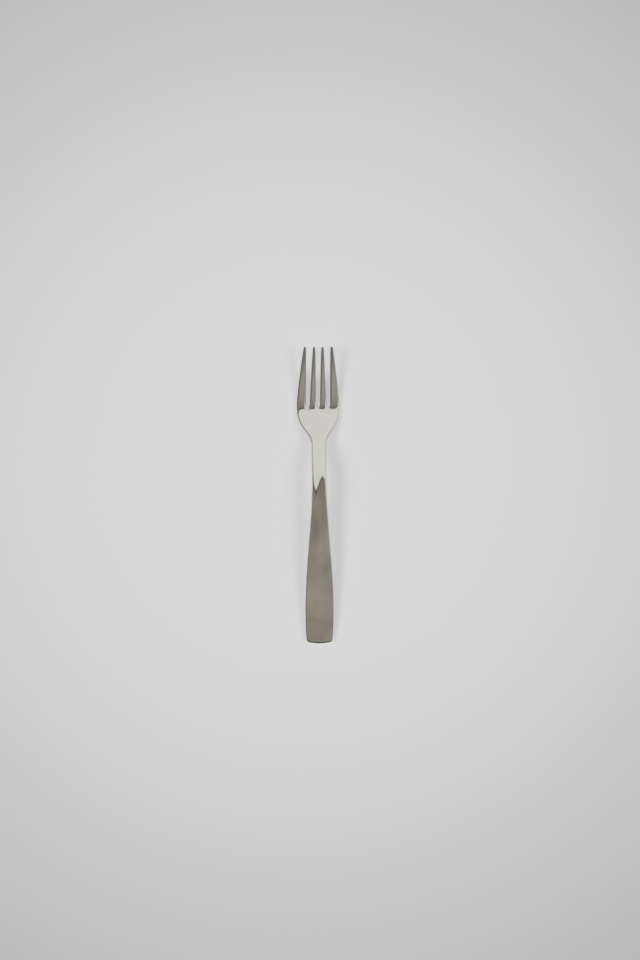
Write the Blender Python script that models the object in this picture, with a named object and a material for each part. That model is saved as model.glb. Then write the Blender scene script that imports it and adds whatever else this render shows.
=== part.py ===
"""Dessert fork, lying with its tines up on a table.

The fork is one piece of stainless steel. A flat blank is cut from graded strip, three slots are pierced
to leave four tines, the edges are rounded, and the blank is pressed to its side profile and polished.

Units are metres. +Y runs from the butt of the handle to the tips of the tines, +X is across and +Z is up.
The table is the plane Z = 0, and the origin is on it under the middle of the fork.
"""
import math

import bmesh
import bpy
import numpy as np
from mathutils import Vector
from mathutils.geometry import interpolate_bezier

# Lengths along the fork, in plan, in the order in which they follow each other from the butt
HANDLE_LENGTH = 0.094
NECK_LENGTH = 0.019
SHOULDER_LENGTH = 0.023
TINE_LENGTH = 0.034

# Outline of the handle and the head
HANDLE_WIDTH = 0.0163
HANDLE_WIDEST_FROM_BUTT = 0.0190
BUTT_WIDTH = 0.0150
BUTT_CORNER_RADIUS = 0.0022
BUTT_BOW = 0.0006
NECK_WIDTH = 0.0080
HEAD_WIDTH = 0.0247

# How far each curve of the outline runs on in its first direction, as shares of its length
BUTT_RUN = 0.67
HANDLE_RUN = 0.36
NECK_RUN = 0.35
HEAD_RUN = 0.65

# Tines and slots. The outer tines take up what the slots and the inner tines leave of the head
SLOT_ROOT_WIDTH = 0.0021
INNER_TINE_ROOT_WIDTH = 0.0038
TIP_WIDTH = 0.0014
TIP_ROUND_LENGTH = 0.0010
INNER_TIP_SPREAD = 0.0048
OUTER_TIP_SPREAD = 0.0152
OUTER_EDGE_CURVE = 1.3

# Side profile of the underside. The straight of the handle aims at the crest's height this share of the way
# from its end to the crest
CREST_SHARE = 0.8
HANDLE_STRAIGHT_LENGTH = 0.070
CREST_BEFORE_NECK = 0.0014
CREST_HEIGHT = 0.0090
CREST_RADIUS = 0.052
BELLY_BEFORE_SLOTS = 0.0023
BELLY_RADIUS = 0.030
TIP_LIFT = 0.0088
TIP_ANGLE = math.radians(22.0)
TIP_BEND_RADIUS = 0.130

# Thickness of the steel, the shallow hollow between two soft ridges along the top of the handle and neck,
# and the rounded edges
BUTT_THICKNESS = 0.0020
NECK_THICKNESS = 0.0028
HEAD_THICKNESS = 0.0019
TIP_THICKNESS = 0.0012
HOLLOW_DEPTH = 0.00015
RIDGE_FROM_EDGE = 0.0008
EDGE_RADIUS = 0.0004
WALL_SHARE = 0.35

# Facets
TINE_COLUMNS = 6
SLOT_COLUMNS = 6
EDGE_SEGMENTS = 2
HANDLE_ROWS = 13
ARCH_ROWS = 20
SHOULDER_ROWS = 16
TINE_ROWS = 16
CURVE_SAMPLES = 240

# Distances from the butt that follow from the lengths above
NECK_START = HANDLE_LENGTH
NECK_END = NECK_START + NECK_LENGTH
SLOT_ROOT = NECK_END + SHOULDER_LENGTH
LENGTH = SLOT_ROOT + TINE_LENGTH
CREST = NECK_START - CREST_BEFORE_NECK
BELLY = SLOT_ROOT - BELLY_BEFORE_SLOTS
TINE_START = SLOT_ROOT + SLOT_ROOT_WIDTH / 2

# The two faces of the steel stop short of the outline by this much, and the rim rounds over the rest
RIM = min(EDGE_RADIUS, TIP_WIDTH * WALL_SHARE, TIP_THICKNESS * WALL_SHARE, BUTT_CORNER_RADIUS * WALL_SHARE)


def clear_scene():
    for old in list(bpy.data.objects):
        bpy.data.objects.remove(old, do_unlink=True)


def bezier(start, start_handle, end_handle, end):
    """Points of one Bezier piece of the outline, each a distance from the butt and a half width."""
    corners = [Vector((*point, 0.0)) for point in (start, start_handle, end_handle, end)]
    return [(point.x, point.y) for point in interpolate_bezier(*corners, CURVE_SAMPLES)]


def outline():
    """Half width of the blank along the butt, the handle's flare, the neck and the shoulders."""
    butt, handle = BUTT_WIDTH / 2, HANDLE_WIDTH / 2
    neck, head = NECK_WIDTH / 2, HEAD_WIDTH / 2
    widest = HANDLE_WIDEST_FROM_BUTT
    butt_end = (widest * (1 - BUTT_RUN), butt + (handle - butt) * BUTT_RUN)
    flare = (NECK_START - widest) * HANDLE_RUN
    neck_side = NECK_END + SHOULDER_LENGTH * NECK_RUN
    head_side = SLOT_ROOT - SHOULDER_LENGTH * HEAD_RUN
    points = bezier((0.0, butt), butt_end, (widest * BUTT_RUN, handle), (widest, handle))
    handle_side, waist = (widest + flare, handle), (NECK_START - flare, neck)
    points += bezier((widest, handle), handle_side, waist, (NECK_START, neck))
    points += bezier((NECK_END, neck), (neck_side, neck), (head_side, head), (SLOT_ROOT, head))
    points.append((LENGTH, head))
    return np.array(points).T


OUTLINE = outline()


def half_width(along):
    return float(np.interp(along, *OUTLINE))


def blend(stations, along):
    """A curve through stations of (distance, value, slope, bend), with no jump in slope or bend."""
    for (x0, v0, m0, k0), (x1, v1, m1, k1) in zip(stations, stations[1:]):
        if along <= x1:
            break
    span = x1 - x0
    t = (along - x0) / span
    poles = (
        v0,
        v0 + m0 * span / 5,
        v0 + m0 * span * 2 / 5 + k0 * span ** 2 / 20,
        v1 - m1 * span * 2 / 5 + k1 * span ** 2 / 20,
        v1 - m1 * span / 5,
        v1,
    )
    return sum(math.comb(5, i) * t ** i * (1 - t) ** (5 - i) * pole for i, pole in enumerate(poles))


def underside(along):
    """Height of the underside: a straight handle, over the crest, down to the belly and up the tines."""
    straight = HANDLE_STRAIGHT_LENGTH
    slope = CREST_HEIGHT / (straight + (CREST - straight) * CREST_SHARE)
    return blend(
        (
            (0.0, 0.0, slope, 0.0),
            (straight, slope * straight, slope, 0.0),
            (CREST, CREST_HEIGHT, 0.0, -1 / CREST_RADIUS),
            (BELLY, 0.0, 0.0, 1 / BELLY_RADIUS),
            (LENGTH, TIP_LIFT, math.tan(TIP_ANGLE), 1 / TIP_BEND_RADIUS),
        ),
        along,
    )


def thickness(across, along):
    """Thickness of the steel, less the hollow along the top of the handle and the neck.

    The hollow rises to a soft ridge near each edge, from which the top falls away again to the rim.
    """
    steel = blend(
        (
            (0.0, BUTT_THICKNESS, 0.0, 0.0),
            (NECK_START, NECK_THICKNESS, 0.0, 0.0),
            (NECK_END, NECK_THICKNESS, 0.0, 0.0),
            (SLOT_ROOT, HEAD_THICKNESS, 0.0, 0.0),
            (LENGTH, TIP_THICKNESS, 0.0, 0.0),
        ),
        along,
    )
    hollow = blend(
        (
            (0.0, 0.0, 0.0, 0.0),
            (HANDLE_WIDEST_FROM_BUTT, HOLLOW_DEPTH, 0.0, 0.0),
            (NECK_END, HOLLOW_DEPTH, 0.0, 0.0),
            (SLOT_ROOT, 0.0, 0.0, 0.0),
            (LENGTH, 0.0, 0.0, 0.0),
        ),
        along,
    )
    ridge = half_width(along) - RIDGE_FROM_EDGE
    return steel - hollow * (1 - (across / ridge) ** 2) ** 2


def tine_edges():
    """Left and right edge of each tine at the slot roots and at the tips, from left to right."""
    inner = SLOT_ROOT_WIDTH / 2
    middle = inner + INNER_TINE_ROOT_WIDTH
    outer = middle + SLOT_ROOT_WIDTH
    half_tip = TIP_WIDTH / 2
    right_hand = (
        ((inner, middle), (INNER_TIP_SPREAD / 2 - half_tip, INNER_TIP_SPREAD / 2 + half_tip)),
        ((outer, HEAD_WIDTH / 2), (OUTER_TIP_SPREAD / 2 - half_tip, OUTER_TIP_SPREAD / 2 + half_tip)),
    )
    left_hand = [tuple((-right, -left) for left, right in tine) for tine in reversed(right_hand)]
    return left_hand + list(right_hand)


def butt_row(shares):
    """The row of points round the butt: a bowed end and two rounded corners."""
    half = BUTT_WIDTH / 2 - RIM
    radius = BUTT_CORNER_RADIUS - RIM
    corner = 1 - radius / half
    row = []
    for share in shares:
        turn = max(abs(share) - corner, 0.0) / (1 - corner) * math.pi / 2
        across = min(abs(share), corner) * half + radius * math.sin(turn)
        along = RIM + BUTT_BOW * min(abs(share) / corner, 1.0) ** 2 + radius * (1 - math.cos(turn))
        row.append((math.copysign(across, share), along))
    return row


def body_row(shares, along):
    half = half_width(along) - RIM
    return [(half * share, along) for share in shares]


def root_row(tines):
    """The row of points across the slot roots, and the column of that row at which each tine starts."""
    row, starts = [], []
    for (left, right), _ in tines:
        if row:
            centre, radius = (row[-1][0] + left + RIM) / 2, SLOT_ROOT_WIDTH / 2 + RIM
            for turn in np.linspace(-math.pi / 2, math.pi / 2, SLOT_COLUMNS + 1)[1:-1]:
                row.append((centre + radius * math.sin(turn), TINE_START - radius * math.cos(turn)))
        starts.append(len(row))
        row += [(across, TINE_START) for across in np.linspace(left + RIM, right - RIM, TINE_COLUMNS + 1)]
    return row, starts


def tine_row(tine, along):
    """A row of points across one tine. Slot walls run straight to the tip, and outer edges curve in."""
    (root_left, root_right), (tip_left, tip_right) = tine
    share = (along - TINE_START) / (LENGTH - TINE_START)
    left_share = share ** OUTER_EDGE_CURVE if root_left == -HEAD_WIDTH / 2 else share
    right_share = share ** OUTER_EDGE_CURVE if root_right == HEAD_WIDTH / 2 else share
    left = root_left + (tip_left - root_left) * left_share + RIM
    right = root_right + (tip_right - root_right) * right_share - RIM
    return [(across, along) for across in np.linspace(left, right, TINE_COLUMNS + 1)]


def tip_row(tine):
    """The row of points round the tip of one tine, a half ellipse."""
    reach = TIP_ROUND_LENGTH
    ends = tine_row(tine, LENGTH - RIM - reach)
    centre, half = (ends[0][0] + ends[-1][0]) / 2, (ends[-1][0] - ends[0][0]) / 2
    turns = np.linspace(-math.pi / 2, math.pi / 2, TINE_COLUMNS + 1)
    return [(centre + half * math.sin(turn), LENGTH - RIM - reach * (1 - math.cos(turn))) for turn in turns]


def cut_blank(sheet):
    """The underside of the flat blank with its slots pierced, as one sheet of faces in plan."""
    straight = np.linspace(BUTT_CORNER_RADIUS * 2, HANDLE_STRAIGHT_LENGTH, HANDLE_ROWS)
    arched = np.linspace(HANDLE_STRAIGHT_LENGTH, NECK_END, ARCH_ROWS)[1:]
    shoulders = np.linspace(NECK_END, SLOT_ROOT - SLOT_ROOT_WIDTH, SHOULDER_ROWS)[1:]
    along_tines = np.linspace(TINE_START, LENGTH - RIM - TIP_ROUND_LENGTH * 1.5, TINE_ROWS)[1:]
    tines = tine_edges()
    roots, starts = root_row(tines)
    shares = [across / roots[-1][0] for across, _ in roots]

    def add_row(points, before=()):
        row = [sheet.verts.new((across, along, 0.0)) for across, along in points]
        for (a, b), (d, c) in zip(zip(before, before[1:]), zip(row, row[1:])):
            sheet.faces.new((a, b, c, d))
        return row

    row = add_row(butt_row(shares))
    for along in (*straight, *arched, *shoulders):
        row = add_row(body_row(shares, along), row)
    across_roots = add_row(roots, row)
    for tine, start in zip(tines, starts):
        row = across_roots[start:start + TINE_COLUMNS + 1]
        for along in along_tines:
            row = add_row(tine_row(tine, along), row)
        add_row(tip_row(tine), row)


def round_rim(sheet):
    """Adds the top face, as thick as the graded strip, and a rounded rim along every edge of the sheet."""
    border = [edge.link_loops[0] for edge in sheet.edges if edge.is_boundary]
    border = [(loop.vert, loop.link_loop_next.vert) for loop in border]
    underneath = list(sheet.faces)
    outward = {}
    for here, there in border:
        ahead = there.co - here.co
        side = Vector((ahead.y, -ahead.x, 0.0)).normalized()
        for vertex in (here, there):
            outward[vertex] = outward.get(vertex, Vector()) + side
    top = {}
    for vertex in list(sheet.verts):
        above = vertex.co + Vector((0.0, 0.0, thickness(vertex.co.x, vertex.co.y)))
        top[vertex] = sheet.verts.new(above)
    turns = [math.pi / 2 * i / EDGE_SEGMENTS for i in range(1, EDGE_SEGMENTS + 1)]
    upwards = Vector((0.0, 0.0, 1.0))
    chains = {}
    for vertex, side in outward.items():
        side.normalize()
        arc = [side * math.sin(turn) + upwards * (1 - math.cos(turn)) for turn in turns]
        lower = [vertex.co + RIM * offset for offset in arc]
        upper = [Vector((point.x, point.y, top[vertex].co.z - point.z)) for point in reversed(lower)]
        chains[vertex] = [vertex, *[sheet.verts.new(point) for point in lower + upper], top[vertex]]
    for face in underneath:
        sheet.faces.new([top[vertex] for vertex in face.verts])
        face.normal_flip()
    for here, there in border:
        for a, b, c, d in zip(chains[here], chains[there], chains[there][1:], chains[here][1:]):
            sheet.faces.new((a, b, c, d))
    bmesh.ops.recalc_face_normals(sheet, faces=sheet.faces)


def press(sheet):
    """Bends the flat blank to the side profile, square to the underside."""
    step = 0.0001
    for vertex in sheet.verts:
        along, height = vertex.co.y, vertex.co.z
        rise = math.atan2(underside(along + step) - underside(along - step), 2 * step)
        vertex.co.y = along - height * math.sin(rise) - LENGTH / 2
        vertex.co.z = underside(along) + height * math.cos(rise)


def polished_steel():
    steel = bpy.data.materials.new("polished_steel")
    steel.use_nodes = True
    surface = steel.node_tree.nodes["Principled BSDF"]
    surface.inputs["Base Color"].default_value = (0.72, 0.70, 0.67, 1.0)
    surface.inputs["Metallic"].default_value = 1.0
    surface.inputs["Roughness"].default_value = 0.12
    return steel


def make_fork():
    sheet = bmesh.new()
    cut_blank(sheet)
    round_rim(sheet)
    press(sheet)
    mesh = bpy.data.meshes.new("fork")
    sheet.to_mesh(mesh)
    sheet.free()
    mesh.shade_smooth()
    mesh.materials.append(polished_steel())
    fork = bpy.data.objects.new("fork", mesh)
    bpy.context.collection.objects.link(fork)
    return fork


clear_scene()
make_fork()
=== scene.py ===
import math

import bmesh
import bpy
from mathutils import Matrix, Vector


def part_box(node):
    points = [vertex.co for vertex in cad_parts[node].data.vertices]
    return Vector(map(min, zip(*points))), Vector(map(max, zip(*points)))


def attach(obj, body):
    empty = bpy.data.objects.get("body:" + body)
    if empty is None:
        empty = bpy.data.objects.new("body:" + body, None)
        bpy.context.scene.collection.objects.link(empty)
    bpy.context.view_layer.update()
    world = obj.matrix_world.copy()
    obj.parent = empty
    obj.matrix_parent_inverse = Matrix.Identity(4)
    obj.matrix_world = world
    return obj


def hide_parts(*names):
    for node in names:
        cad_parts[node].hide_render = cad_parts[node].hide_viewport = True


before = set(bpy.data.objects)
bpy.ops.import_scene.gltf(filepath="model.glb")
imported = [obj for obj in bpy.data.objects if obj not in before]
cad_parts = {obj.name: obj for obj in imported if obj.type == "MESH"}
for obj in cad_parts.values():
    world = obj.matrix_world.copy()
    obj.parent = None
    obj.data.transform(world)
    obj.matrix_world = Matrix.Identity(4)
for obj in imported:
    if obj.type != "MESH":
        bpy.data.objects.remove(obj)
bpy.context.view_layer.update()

# The strip: butt, handle, neck and shoulders.
# A fork of this kind is one piece of stainless steel strip, cut to its outline and pressed to its profile.
# Its sheet is drawn out row by row from the butt, and each row is measured on the solid that it stands for.
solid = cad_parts["fork"]
low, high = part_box("fork")
BUTT = low.y
UP = Vector((0.0, 0.0, 1.0))
RIGHT = Vector((1.0, 0.0, 0.0))
CLEAR = 0.01
SKIN = 0.00001
BUTT_SQUARENESS = 0.955
BUTT_BOW = 0.0010

# The rows' distances from the butt: far apart along the straight handle, and close where the steel bends.
BODY_ROWS = (
    0.0030, 0.0075, 0.0150, 0.0240, 0.0340, 0.0440, 0.0540, 0.0630, 0.0700,
    0.0755, 0.0800, 0.0840, 0.0875, 0.0905, 0.0935, 0.0965, 0.1000, 0.1040,
    0.1085, 0.1125, 0.1155, 0.1180, 0.1205, 0.1235, 0.1270, 0.1305, 0.1335,
)
ROOT_ROW = 0.1364

# Heights are gauged on a line that runs up the inner right tine.
# The butt and the slots are gauged a little way in from their ends.
GAUGE_LINE = 0.0025
GAUGE_INSET = 0.001


def steel_at(across, along):
    """Heights of the steel's underside and top over a place on the table, and how far the top faces up."""
    found_below, under, _, _ = solid.ray_cast(Vector((across, along, low.z - CLEAR)), UP)
    found_above, top, facing, _ = solid.ray_cast(Vector((across, along, high.z + CLEAR)), -UP)
    if not (found_below and found_above):
        raise ValueError(f"no steel at {across:.5f}, {along:.5f}")
    return under.z, top.z, facing.z


def walls_at(along):
    """Where a line across the fork, half way up the steel, meets its walls, from left to right."""
    under, top, _ = steel_at(GAUGE_LINE, along)
    start = Vector((low.x - CLEAR, along, (under + top) / 2))
    walls = []
    found, wall, _, _ = solid.ray_cast(start, RIGHT)
    while found:
        walls.append(wall.x)
        found, wall, _, _ = solid.ray_cast(wall + RIGHT * SKIN, RIGHT)
    return walls


def pick(wanted):
    """Selects the points of the sheet whose place passes a test, and nothing else."""
    sheet = bmesh.from_edit_mesh(bpy.context.object.data)
    for point in sheet.verts:
        point.select = bool(wanted(point.co))
    sheet.select_flush_mode()
    bmesh.update_edit_mesh(bpy.context.object.data)


def draw_out(left, right, here, there):
    """Extrudes the picked row from one place along the fork to the next, and fits it to its walls there."""
    old_left, old_right, old_along, old_height = here
    along, height = there
    shift = (left + right - old_left - old_right) / 2
    step = (shift, along - old_along, height - old_height)
    bpy.ops.mesh.extrude_edges_move(TRANSFORM_OT_translate={"value": step})
    stretch = (right - left) / (old_right - old_left)
    middle = ((left + right) / 2, along, height)
    bpy.ops.transform.resize(value=(stretch, 1.0, 1.0), center_override=middle)
    return left, right, along, height


# The sheet's columns lie at the walls and middles of the tines and slots, so each tine grows from its own.
root_walls = walls_at(BUTT + ROOT_ROW + GAUGE_INSET)
shares = []
for left, right in zip(root_walls, root_walls[1:]):
    shares += [left / root_walls[-1], (left + right) / 2 / root_walls[-1]]
shares.append(1.0)
columns = len(shares) - 1

bpy.ops.object.select_all(action="DESELECT")
first = BUTT + BODY_ROWS[0]
half = walls_at(first)[-1]
bpy.ops.mesh.primitive_grid_add(x_subdivisions=columns, y_subdivisions=1, size=2 * half)
fork = bpy.context.object
fork.name = "fork_steel"
fork.data.name = "fork_steel"
bpy.ops.object.mode_set(mode="EDIT")
bpy.ops.mesh.select_mode(type="VERT")
bpy.ops.transform.resize(value=(1.0, BODY_ROWS[0] / (2 * half), 1.0), center_override=(0.0, 0.0, 0.0))
first_height = steel_at(GAUGE_LINE, first)[0]
butt_height = steel_at(GAUGE_LINE, BUTT + GAUGE_INSET)[0]
bpy.ops.transform.translate(value=(0.0, first - BODY_ROWS[0] / 2, first_height))
for number, share in enumerate(shares):
    column = half * (2 * number / columns - 1)
    pick(lambda place: abs(place.x - column) < SKIN and place.y > first - SKIN)
    bpy.ops.transform.translate(value=(share * half - column, 0.0, 0.0))
    pick(lambda place: abs(place.x - column) < SKIN and place.y < BUTT + SKIN)
    inwards = share * half * BUTT_SQUARENESS - column
    bow = BUTT_BOW * share ** 2
    bpy.ops.transform.translate(value=(inwards, bow, butt_height - first_height))

pick(lambda place: place.y > first - SKIN)
row = (-half, half, first, first_height)
for distance in BODY_ROWS[1:]:
    along = BUTT + distance
    walls = walls_at(along)
    row = draw_out(walls[0], walls[-1], row, (along, steel_at(GAUGE_LINE, along)[0]))

# The tines.
# Three slots are pierced in the head, and the four tines that they leave taper to blunt tips and bend up.
# The row across the slot roots is drawn out as one, and from there on each tine is drawn out by itself.
TIPS = high.y
TINE_ROWS = (0.1395, 0.1430, 0.1475, 0.1525, 0.1575, 0.1625, 0.1665, 0.1690)
SLOT_HOLLOW = 0.0007
TIP_POINT = 0.80
TIP_REACH = 0.00025

root = BUTT + ROOT_ROW
root_height = steel_at(GAUGE_LINE, root)[0]
draw_out(root_walls[0], root_walls[-1], row, (root, root_height))
for left, right in zip(root_walls[1::2], root_walls[2::2]):
    pick(lambda place: abs(place.x - (left + right) / 2) < SKIN and abs(place.y - root) < SKIN)
    bpy.ops.transform.translate(value=(0.0, -SLOT_HOLLOW, 0.0))
tine_walls = {distance: walls_at(BUTT + distance) for distance in TINE_ROWS}
for number in range(len(root_walls) // 2):
    left, right = root_walls[2 * number:2 * number + 2]
    row = (left, right, root, root_height)
    pick(lambda place: left - SKIN < place.x < right + SKIN and abs(place.y - root) < SKIN)
    for distance in TINE_ROWS:
        before = row
        along = BUTT + distance
        left, right = tine_walls[distance][2 * number:2 * number + 2]
        row = draw_out(left, right, row, (along, steel_at(GAUGE_LINE, along)[0]))
    _, _, old_along, old_height = before
    _, _, along, height = row
    rise = (height - old_height) / (along - old_along)
    end = TIPS + TIP_REACH
    middle = (left + right) / 2
    narrow = (right - left) / 2 * TIP_POINT
    draw_out(middle - narrow, middle + narrow, row, (end, height + (end - along) * rise))

# The rounded edges and the thickness of the steel.
# The strip is thick at the neck and thin at the tips, with a shallow hollow along the top of the handle.
# Its cut edges are ground round, and at the butt, the neck and the head its top falls away towards them.
EDGE_BAND = 0.00045
BUTT_FALL = 0.28
HANDLE_FALL = 0.0
HEAD_FALL = 0.11
HANDLE_END = 0.0005
THICKEST = 0.004
END_ROUNDING = 0.0025
SMOOTH_LEVELS = 2

bpy.ops.mesh.select_all(action="SELECT")
bpy.ops.mesh.inset(use_boundary=True, use_even_offset=True, thickness=EDGE_BAND)
bpy.ops.object.mode_set(mode="OBJECT")
gauge = fork.vertex_groups.new(name="thickness")
sheet = bmesh.new()
sheet.from_mesh(fork.data)
for point in sheet.verts:
    if point.is_boundary:
        continue
    along = min(max(point.co.y, BUTT + END_ROUNDING), TIPS - END_ROUNDING)
    under, top, facing = steel_at(point.co.x, along)
    weight = (top - under) * facing / THICKEST
    gauge.add([point.index], weight, "REPLACE")
    if point.co.y < BUTT + END_ROUNDING:
        fall = BUTT_FALL
    elif point.co.y < HANDLE_END:
        fall = HANDLE_FALL
    else:
        fall = HEAD_FALL
    around = [edge.other_vert(point) for edge in point.link_edges]
    rim = [other.index for other in around if other.is_boundary]
    gauge.add(rim, weight * (1 - fall), "REPLACE")
sheet.free()

steel = fork.modifiers.new("steel", "SOLIDIFY")
steel.thickness = THICKEST
steel.offset = 1.0
steel.vertex_group = gauge.name
steel.use_even_offset = True
smooth = fork.modifiers.new("ground smooth", "SUBSURF")
smooth.levels = SMOOTH_LEVELS
smooth.render_levels = SMOOTH_LEVELS
bpy.ops.object.modifier_apply(modifier=steel.name)
bpy.ops.object.modifier_apply(modifier=smooth.name)
bpy.ops.object.mode_set(mode="EDIT")
bpy.ops.mesh.select_all(action="SELECT")
bpy.ops.mesh.normals_make_consistent(inside=False)
bpy.ops.object.mode_set(mode="OBJECT")
bpy.ops.object.shade_smooth()

# The polish.
# The steel is polished to a mirror, with faint lines along the fork from the polishing wheel, and its gloss
# varies a little from place to place. The handle's colour is darker in soft patches, which are partly a film
# of handling and partly a painted reflection of the room's dim, blurred tones.
CLEAN_STEEL = (0.735, 0.715, 0.685, 1.0)
FILM_AND_REFLECTION_STEEL = (0.565, 0.541, 0.507, 1.0)
FILM_AND_REFLECTION_SCALE = 60.0
FILM_AND_REFLECTION_DETAIL = 2.0
FILM_AND_REFLECTION_PLACE = (0.3785, 0.2195, 0.0)
FILM_AND_REFLECTION_LAID_FLAT = (1.0, 1.0, 0.0)
FILM_AND_REFLECTION_FAINT = 0.33
FILM_AND_REFLECTION_FULL = 0.64
FILM_AND_REFLECTION_THINS = -0.004
FILM_AND_REFLECTION_ENDS = 0.013
DULL_SCALE = 140.0
DULL_DETAIL = 2.0
DULL_FAINT = 0.3
DULL_FULL = 0.7
BRIGHT_ROUGHNESS = 0.05
DULL_ROUGHNESS = 0.11
LINES_ACROSS = 5000.0
LINES_ALONG = 60.0
LINE_DETAIL = 1.0
LINE_DEPTH = 0.00002
LINE_STRENGTH = 0.04


def graded(nodes, start, end, before=0.0, after=1.0, passage="SMOOTHSTEP"):
    """Adds a node whose level passes from one value to another while a measure runs from start to end."""
    node = nodes.new("ShaderNodeMapRange")
    node.interpolation_type = passage
    node.inputs["From Min"].default_value = start
    node.inputs["From Max"].default_value = end
    node.inputs["To Min"].default_value = before
    node.inputs["To Max"].default_value = after
    return node


polish = bpy.data.materials.new("polished_steel")
polish.use_nodes = True
nodes, links = polish.node_tree.nodes, polish.node_tree.links
surface = nodes["Principled BSDF"]
surface.inputs["Metallic"].default_value = 1.0
place = nodes.new("ShaderNodeTexCoord")
laid = nodes.new("ShaderNodeMapping")
laid.inputs["Location"].default_value = FILM_AND_REFLECTION_PLACE
laid.inputs["Scale"].default_value = FILM_AND_REFLECTION_LAID_FLAT
# Soft darker patches on the handle: a film of handling together with a painted reflection of the room's
# blurred tones.
film_and_reflection = nodes.new("ShaderNodeTexNoise")
film_and_reflection.inputs["Scale"].default_value = FILM_AND_REFLECTION_SCALE
film_and_reflection.inputs["Detail"].default_value = FILM_AND_REFLECTION_DETAIL
patches = graded(nodes, FILM_AND_REFLECTION_FAINT, FILM_AND_REFLECTION_FULL, passage="LINEAR")
where = nodes.new("ShaderNodeSeparateXYZ")
# The patches, painted reflection included, fade out at the neck, so the head keeps the clean steel's colour.
handle_reach = graded(nodes, FILM_AND_REFLECTION_THINS, FILM_AND_REFLECTION_ENDS, 1.0, 0.0)
on_handle = nodes.new("ShaderNodeMath")
on_handle.operation = "MULTIPLY"
tone = nodes.new("ShaderNodeMix")
tone.data_type = "RGBA"
tone.inputs["A"].default_value = CLEAN_STEEL
tone.inputs["B"].default_value = FILM_AND_REFLECTION_STEEL
dull = nodes.new("ShaderNodeTexNoise")
dull.inputs["Scale"].default_value = DULL_SCALE
dull.inputs["Detail"].default_value = DULL_DETAIL
roughness = graded(nodes, DULL_FAINT, DULL_FULL, BRIGHT_ROUGHNESS, DULL_ROUGHNESS, "LINEAR")
stretch = nodes.new("ShaderNodeMapping")
stretch.inputs["Scale"].default_value = (LINES_ACROSS, LINES_ALONG, LINES_ACROSS)
lines = nodes.new("ShaderNodeTexNoise")
lines.inputs["Scale"].default_value = 1.0
lines.inputs["Detail"].default_value = LINE_DETAIL
scratch = nodes.new("ShaderNodeBump")
scratch.inputs["Strength"].default_value = LINE_STRENGTH
scratch.inputs["Distance"].default_value = LINE_DEPTH
links.new(place.outputs["Object"], laid.inputs["Vector"])
links.new(laid.outputs["Vector"], film_and_reflection.inputs["Vector"])
links.new(film_and_reflection.outputs["Fac"], patches.inputs["Value"])
links.new(place.outputs["Object"], where.inputs["Vector"])
links.new(where.outputs["Y"], handle_reach.inputs["Value"])
links.new(patches.outputs["Result"], on_handle.inputs[0])
links.new(handle_reach.outputs["Result"], on_handle.inputs[1])
links.new(on_handle.outputs["Value"], tone.inputs["Factor"])
links.new(tone.outputs["Result"], surface.inputs["Base Color"])
links.new(place.outputs["Object"], dull.inputs["Vector"])
links.new(dull.outputs["Fac"], roughness.inputs["Value"])
links.new(roughness.outputs["Result"], surface.inputs["Roughness"])
links.new(place.outputs["Object"], stretch.inputs["Vector"])
links.new(stretch.outputs["Vector"], lines.inputs["Vector"])
links.new(lines.outputs["Fac"], scratch.inputs["Height"])
links.new(scratch.outputs["Normal"], surface.inputs["Normal"])
fork.data.materials.append(polish)

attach(fork, "root")
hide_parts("fork")

# The table.
# The fork lies on a wide, flat sheet of pale matt paper.
# The paper carries a painted pool of light: it is lightest around the fork, and its painted shade deepens a
# little towards the edges of the picture.
FLOOR_REACH = 3.0
PAPER_NEAR = (0.675, 0.675, 0.675, 1.0)
PAPER_FAR = (0.44, 0.44, 0.44, 1.0)
PAPER_ROUGHNESS = 0.9
LIGHTEST_PLACE = (-0.009, 0.018, 0.0)
FADE_STARTS = 0.08
FADE_ENDS = 0.44

bpy.ops.object.select_all(action="DESELECT")
bpy.ops.mesh.primitive_plane_add(size=2 * FLOOR_REACH, location=(0.0, 0.0, 0.0))
floor = bpy.context.object
floor.name = "table"
paper = bpy.data.materials.new("pale_paper")
paper.use_nodes = True
nodes, links = paper.node_tree.nodes, paper.node_tree.links
surface = nodes["Principled BSDF"]
surface.inputs["Roughness"].default_value = PAPER_ROUGHNESS
surface.inputs["Specular IOR Level"].default_value = 0.0
place = nodes.new("ShaderNodeTexCoord")
# The painted pool of light: the paper's colour darkens with distance from its lightest place.
distance = nodes.new("ShaderNodeVectorMath")
distance.operation = "DISTANCE"
distance.inputs[1].default_value = LIGHTEST_PLACE
fade = graded(nodes, FADE_STARTS, FADE_ENDS)
painted_light_pool = nodes.new("ShaderNodeMix")
painted_light_pool.data_type = "RGBA"
painted_light_pool.inputs["A"].default_value = PAPER_NEAR
painted_light_pool.inputs["B"].default_value = PAPER_FAR
links.new(place.outputs["Object"], distance.inputs[0])
links.new(distance.outputs["Value"], fade.inputs["Value"])
links.new(fade.outputs["Result"], painted_light_pool.inputs["Factor"])
links.new(painted_light_pool.outputs["Result"], surface.inputs["Base Color"])
floor.data.materials.append(paper)

# The panel and the room that the steel mirrors.
# A bright panel fills one half of the room, its dark frame crosses over the fork, and the other half is dim
# and warm. They give the light head and neck, the V on the neck, and the dark handle and tines.
PANEL_TURN = math.radians(45.0)
PANEL_EDGE = 0.0314
FRAME_STARTS = 0.487
FRAME_ENDS = 0.498
PANEL_STARTS = 0.502
FRAME_TONE = (0.02, 0.019, 0.018)
PANEL_TONE = (0.83, 0.825, 0.81)
HORIZON_LEVEL = 0.2
HORIZON_CLEARS = 0.6

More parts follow.
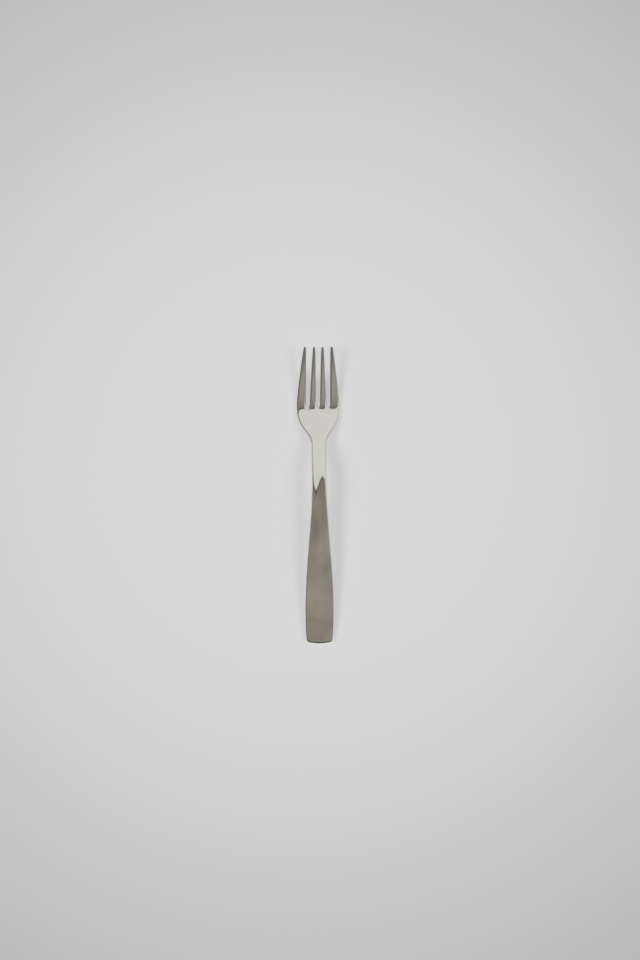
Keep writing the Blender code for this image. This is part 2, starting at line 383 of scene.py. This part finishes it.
# The room's tones, from low down opposite the panel to the frame overhead.
ROOM_TONES = (
    (0.00, (0.16, 0.156, 0.15)),
    (0.15, (0.185, 0.18, 0.17)),
    (0.25, (0.185, 0.18, 0.168)),
    (0.315, (0.215, 0.214, 0.198)),
    (0.343, (0.285, 0.283, 0.262)),
    (0.367, (0.37, 0.361, 0.322)),
    (0.385, (0.395, 0.375, 0.32)),
    (0.41, (0.385, 0.355, 0.30)),
    (0.42, (0.37, 0.34, 0.29)),
    (0.434, (0.345, 0.32, 0.272)),
    (0.483, (0.35, 0.327, 0.281)),
)

room = bpy.data.worlds.new("studio")
room.use_nodes = True
bpy.context.scene.world = room
nodes, links = room.node_tree.nodes, room.node_tree.links
backdrop = nodes["Background"]
direction = nodes.new("ShaderNodeTexCoord")
across_panel = nodes.new("ShaderNodeVectorMath")
across_panel.operation = "DOT_PRODUCT"
across_panel.inputs[1].default_value = (math.sin(PANEL_TURN), math.cos(PANEL_TURN), 0.0)
spread = graded(nodes, PANEL_EDGE - 1.0, PANEL_EDGE + 1.0, passage="LINEAR")
halves = nodes.new("ShaderNodeValToRGB")
frame_stops = ((FRAME_STARTS, FRAME_TONE), (FRAME_ENDS, FRAME_TONE))
panel_stops = ((PANEL_STARTS, PANEL_TONE), (1.0, PANEL_TONE))
stops = ROOM_TONES + frame_stops + panel_stops
ramp = halves.color_ramp
while len(ramp.elements) < len(stops):
    ramp.elements.new(0.5)
for element, (position, colour) in zip(ramp.elements, stops):
    element.position = position
    element.color = (*colour, 1.0)
split = nodes.new("ShaderNodeSeparateXYZ")
horizon = graded(nodes, 0.0, HORIZON_CLEARS, HORIZON_LEVEL, 1.0)
links.new(direction.outputs["Generated"], across_panel.inputs[0])
links.new(across_panel.outputs["Value"], spread.inputs["Value"])
links.new(spread.outputs["Result"], halves.inputs["Fac"])
links.new(direction.outputs["Generated"], split.inputs["Vector"])
links.new(split.outputs["Z"], horizon.inputs["Value"])

# One end of the dim side of the room is darker still. Low down on the right the room is dark on both sides.
DARK_END = 0.76
DARK_END_STARTS = 0.21
DARK_END_FULL = 0.06
DIM_SIDE_ENDS = 0.49
DARK_CORNER = 0.35
CORNER_STARTS = 0.38
CORNER_FULL = 0.66

along_panel = nodes.new("ShaderNodeVectorMath")
along_panel.operation = "DOT_PRODUCT"
along_panel.inputs[1].default_value = (math.cos(PANEL_TURN), -math.sin(PANEL_TURN), 0.0)
room_end = graded(nodes, DARK_END_FULL, DARK_END_STARTS, DARK_END, 1.0)
on_panel = nodes.new("ShaderNodeMath")
on_panel.operation = "GREATER_THAN"
on_panel.inputs[1].default_value = DIM_SIDE_ENDS
lit = nodes.new("ShaderNodeMath")
lit.operation = "MAXIMUM"
corner = graded(nodes, CORNER_STARTS, CORNER_FULL, 1.0, DARK_CORNER)
low_light = nodes.new("ShaderNodeMath")
low_light.operation = "MULTIPLY"
level = nodes.new("ShaderNodeMath")
level.operation = "MULTIPLY"
dim = nodes.new("ShaderNodeMix")
dim.data_type = "RGBA"
dim.blend_type = "MULTIPLY"
dim.inputs["Factor"].default_value = 1.0
links.new(direction.outputs["Generated"], along_panel.inputs[0])
links.new(along_panel.outputs["Value"], corner.inputs["Value"])
links.new(along_panel.outputs["Value"], room_end.inputs["Value"])
links.new(spread.outputs["Result"], on_panel.inputs[0])
links.new(room_end.outputs["Result"], lit.inputs[0])
links.new(on_panel.outputs["Value"], lit.inputs[1])
links.new(lit.outputs["Value"], level.inputs[0])
links.new(horizon.outputs["Result"], low_light.inputs[0])
links.new(corner.outputs["Result"], low_light.inputs[1])
links.new(low_light.outputs["Value"], level.inputs[1])
links.new(halves.outputs["Color"], dim.inputs["A"])
links.new(level.outputs["Value"], dim.inputs["B"])

# Only the polished steel sees the panel and the room, over a low pale wall. The table gets a little even
# light from all round, and the camera sees the pale wall.
ROUND_LIGHT = (0.09, 0.09, 0.09, 1.0)
PALE_WALL = (0.45, 0.45, 0.45, 1.0)
WALL_FADES = 0.22
WALL_ENDS = 0.40

path = nodes.new("ShaderNodeLightPath")
wall = nodes.new("ShaderNodeMix")
wall.data_type = "RGBA"
wall.inputs["A"].default_value = ROUND_LIGHT
wall.inputs["B"].default_value = PALE_WALL
wall_top = graded(nodes, WALL_FADES, WALL_ENDS)
over_wall = nodes.new("ShaderNodeMix")
over_wall.data_type = "RGBA"
over_wall.inputs["A"].default_value = PALE_WALL
mirrored = nodes.new("ShaderNodeMix")
mirrored.data_type = "RGBA"
links.new(path.outputs["Is Camera Ray"], wall.inputs["Factor"])
links.new(split.outputs["Z"], wall_top.inputs["Value"])
links.new(wall_top.outputs["Result"], over_wall.inputs["Factor"])
links.new(dim.outputs["Result"], over_wall.inputs["B"])
links.new(path.outputs["Is Glossy Ray"], mirrored.inputs["Factor"])
links.new(wall.outputs["Result"], mirrored.inputs["A"])
links.new(over_wall.outputs["Result"], mirrored.inputs["B"])
links.new(mirrored.outputs["Result"], backdrop.inputs["Color"])

# The lamps.
# Three soft lamps light the table, and the steel doesn't mirror them. The strong one is nearly overhead, and
# the weaker two give the soft shadows beside the fork. Each has its lean, its strength and its softness.
LAMPS = (
    ("overhead", math.radians(-2.5), 2.02, math.radians(7.0)),
    ("from_the_left", math.radians(-47.0), 0.80, math.radians(22.0)),
    ("from_the_right", math.radians(45.0), 0.50, math.radians(25.0)),
)

for name, lean, strength, softness in LAMPS:
    bpy.ops.object.light_add(type="SUN", rotation=(0.0, lean, 0.0))
    lamp = bpy.context.object
    lamp.name = name
    lamp.data.energy = strength
    lamp.data.angle = softness
    lamp.visible_glossy = False

# The camera.
# It looks down from a little to the left of the fork, with the tines towards the top of the picture.
# It is aimed at the middle of the picture by its turn alone, and its lens is as long as the picture needs.
CAMERA_HEIGHT = 0.90
CAMERA_LEFT = 0.040
CAMERA_ROLL = math.radians(-0.38)
PICTURE_HEIGHT = 0.5525
PICTURE_MIDDLE = (0.00092, 0.00905)
SENSOR_HEIGHT = 36.0
NEAREST_SEEN = 0.01

bpy.ops.object.camera_add(
    location=(PICTURE_MIDDLE[0] - CAMERA_LEFT, PICTURE_MIDDLE[1], CAMERA_HEIGHT),
    rotation=(0.0, -math.atan(CAMERA_LEFT / CAMERA_HEIGHT), CAMERA_ROLL),
)
camera = bpy.context.object
camera.data.sensor_fit = "VERTICAL"
camera.data.sensor_height = SENSOR_HEIGHT
camera.data.lens = SENSOR_HEIGHT * math.hypot(CAMERA_HEIGHT, CAMERA_LEFT) / PICTURE_HEIGHT
camera.data.clip_start = NEAREST_SEEN
bpy.context.scene.camera = camera
bpy.context.scene.view_settings.view_transform = "Standard"
